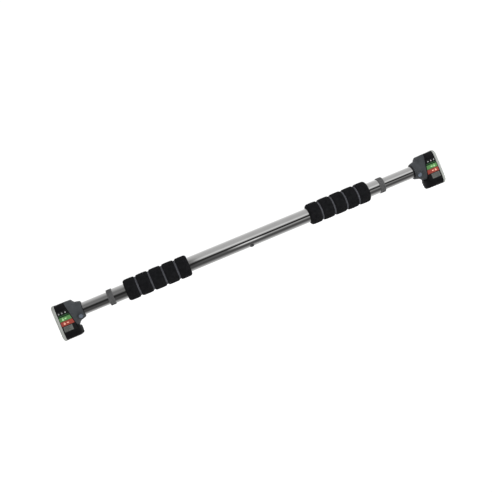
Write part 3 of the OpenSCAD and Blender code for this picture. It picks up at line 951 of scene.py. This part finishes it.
def make_world():
    world = bpy.data.worlds.new("studio")
    bpy.context.scene.world = world
    world.use_nodes = True
    nodes, links = world.node_tree.nodes, world.node_tree.links

    def maths(operation, *values):
        node = nodes.new("ShaderNodeMath")
        node.operation = operation
        for socket, value in zip(node.inputs, values):
            if isinstance(value, (int, float)):
                socket.default_value = value
            else:
                links.new(value, socket)
        return node.outputs[0]
    way = nodes.new("ShaderNodeTexCoord").outputs["Generated"]
    split = nodes.new("ShaderNodeSeparateXYZ")
    links.new(way, split.inputs[0])
    turn = maths("ARCTAN2", split.outputs["Z"], maths("MULTIPLY", split.outputs["Y"], -1))
    place = maths("ADD", maths("MULTIPLY", turn, 1 / (2 * math.pi)), 0.5)

    def shades(stops):
        node = nodes.new("ShaderNodeValToRGB")
        marks = node.color_ramp.elements
        while len(marks) < len(stops):
            marks.new(0.5)
        for mark, (degrees, value) in zip(marks, stops):
            mark.position = (degrees + 180) / 360
            mark.color = (value, value, value, 1)
        links.new(place, node.inputs["Fac"])
        return node.outputs["Color"]

    def mixed(factor, a, b):
        node = nodes.new("ShaderNodeMix")
        node.data_type = "RGBA"
        links.new(factor, node.inputs["Factor"])
        for socket, value in (("A", a), ("B", b)):
            if isinstance(value, tuple):
                node.inputs[socket].default_value = value
            else:
                links.new(value, node.inputs[socket])
        return node.outputs["Result"]
    side = nodes.new("ShaderNodeMapRange")
    side.inputs["From Min"].default_value = -0.06
    side.inputs["From Max"].default_value = -0.03
    links.new(split.outputs["X"], side.inputs["Value"])
    seen = nodes.new("ShaderNodeLightPath")
    gloss = mixed(side.outputs["Result"], shades(LEFT_OF_THE_BAR), shades(ROUND_THE_BAR))
    soft = mixed(seen.outputs["Is Camera Ray"], (0.55, 0.55, 0.56, 1), (1.05, 1.05, 1.05, 1))
    links.new(mixed(seen.outputs["Is Glossy Ray"], soft, gloss), nodes["Background"].inputs["Color"])


def make_floor():
    clear_selection()
    bpy.ops.mesh.primitive_plane_add(size=60, location=(0, 0, 0))
    floor = named("floor")
    paper, nodes, links = new_finish("floor_paper")
    set_shader(paper, Base_Color=(0.9, 0.9, 0.9, 1), Roughness=0.9, Specular_IOR_Level=0.1,
               Emission_Color=(1, 1, 1, 1), Emission_Strength=0.62)
    dress(floor, paper)
    floor.visible_glossy = False


def make_streak():
    """A bright strip on the bench before the bar, which only polished metal sees."""
    clear_selection()
    bpy.ops.mesh.primitive_plane_add(size=1, location=(0, -0.09, 0.0005))
    bpy.context.object.scale = (1.2, 0.12, 1)
    strip = named("bench_strip")

    def added(material, shader):
        nodes, links = material.node_tree.nodes, material.node_tree.links
        split = nodes.new("ShaderNodeSeparateXYZ")
        links.new(place_on(material), split.inputs[0])

        def along(axis, low, high, stops):
            spread = nodes.new("ShaderNodeMapRange")
            spread.inputs["From Min"].default_value = low
            spread.inputs["From Max"].default_value = high
            links.new(split.outputs[axis], spread.inputs["Value"])
            return ramp(material, spread.outputs["Result"],
                        [((p - low) / (high - low), (v, v, v)) for p, v in stops])
        length = along("X", -0.6, 0.6, [(-0.6, 0), (-0.16, 0.0), (-0.06, 0.07), (-0.02, 0.75), (0.015, 0.95),
                                        (0.045, 0.38), (0.1, 0.34), (0.3, 0.26), (0.4, 0.16), (0.6, 0.1)])
        width = along("Y", -0.15, -0.03, [(-0.15, 0), (-0.125, 0.6), (-0.105, 1), (-0.085, 1), (-0.068, 0.3),
                                        (-0.052, 0.03), (-0.03, 0)])
        product = nodes.new("ShaderNodeMix")
        product.data_type = "RGBA"
        product.blend_type = "MULTIPLY"
        product.inputs["Factor"].default_value = 1
        links.new(length, product.inputs["A"])
        links.new(width, product.inputs["B"])
        links.new(product.outputs["Result"], shader.inputs["Color"])
        clear = nodes.new("ShaderNodeBsdfTransparent")
        both = nodes.new("ShaderNodeAddShader")
        links.new(shader.outputs[0], both.inputs[0])
        links.new(clear.outputs[0], both.inputs[1])
        return both.outputs[0]
    dress(strip, glow("bench_glow", added))
    strip.visible_camera = strip.visible_diffuse = strip.visible_shadow = False
    strip.visible_transmission = strip.visible_volume_scatter = False


def softbox(name, place, size, power):
    light = bpy.data.lights.new(name, "AREA")
    light.shape = "RECTANGLE"
    light.size, light.size_y = size
    light.energy = power
    lamp = bpy.data.objects.new(name, light)
    bpy.context.scene.collection.objects.link(lamp)
    lamp.location = place
    lamp.rotation_euler = (Vector((0, 0, AXIS_Z)) - Vector(place)).to_track_quat("-Z", "Y").to_euler()
    lamp.visible_glossy = False


def make_studio():
    bpy.context.scene.view_settings.view_transform = "Standard"
    make_world()
    make_floor()
    make_streak()
    softbox("key", (1.3, -1.1, 1.3), (1.4, 1.0), 26)
    softbox("fill", (-0.9, -1.4, 0.9), (1.2, 0.8), 5)


CAMERA_AZIMUTH = math.radians(-7.3)
CAMERA_DISTANCE = 1.535
CAMERA_ROLL = math.radians(22.6)
CAMERA_TARGET = Vector((BAR_MID - 12 * MM, 0, AXIS_Z - 10 * MM))


def make_camera():
    """A level camera turned a little to the left of square on, and rolled so that the bar climbs."""
    back = Vector((math.sin(CAMERA_AZIMUTH), -math.cos(CAMERA_AZIMUTH), 0))
    right = Vector((math.cos(CAMERA_AZIMUTH), math.sin(CAMERA_AZIMUTH), 0))
    rolled_right = right * math.cos(CAMERA_ROLL) - Vector((0, 0, 1)) * math.sin(CAMERA_ROLL)
    rolled_up = back.cross(rolled_right)
    place = CAMERA_TARGET + back * CAMERA_DISTANCE
    camera = bpy.data.objects.new("camera", bpy.data.cameras.new("camera"))
    camera.data.lens = 51.6
    camera.data.sensor_width = 36
    camera.matrix_world = Matrix((
        (rolled_right.x, rolled_up.x, back.x, place.x),
        (rolled_right.y, rolled_up.y, back.y, place.y),
        (rolled_right.z, rolled_up.z, back.z, place.z),
        (0, 0, 0, 1)))
    bpy.context.scene.collection.objects.link(camera)
    bpy.context.scene.camera = camera


make_camera()
make_tubes()
make_collars()
make_grip("left")
make_grip("right")
make_caps()
make_labels()
dress_frame()
make_studio()
